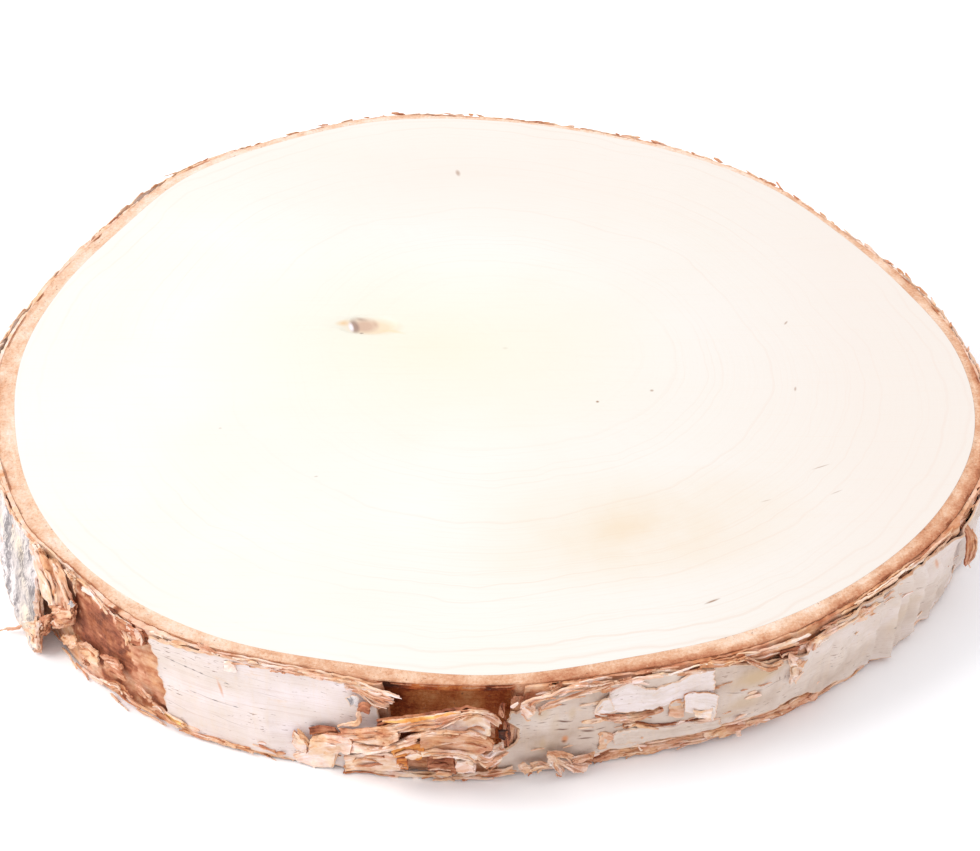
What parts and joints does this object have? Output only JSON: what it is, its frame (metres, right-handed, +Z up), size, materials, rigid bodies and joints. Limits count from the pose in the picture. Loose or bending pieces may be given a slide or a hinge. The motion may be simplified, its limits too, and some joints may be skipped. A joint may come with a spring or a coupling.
{
  "type": "birch wood slice",
  "caption": "Round slice of birch trunk: pale sawn wood with a knot, a tan ring of inner bark, and torn, papery white bark round the edge.",
  "frame": {"origin": "middle of the flat sawn underside", "axes": "+Z up out of the sawn top face, -Y towards the side where the bark is torn open, +X to the right seen from there"},
  "size_m": [0.2429, 0.241, 0.029],
  "materials": {
    "birch_wood": "sawn and sanded, matt, pale cream",
    "inner_bark": "granular, matt, tan to reddish brown",
    "papery_bark": "papery, slightly silky, white to grey with tan tears"
  },
  "bodies": {
    "root": {"wood_disc": "birch_wood", "inner_bark": "inner_bark", "outer_bark": "papery_bark"}
  },
  "joints": []
}
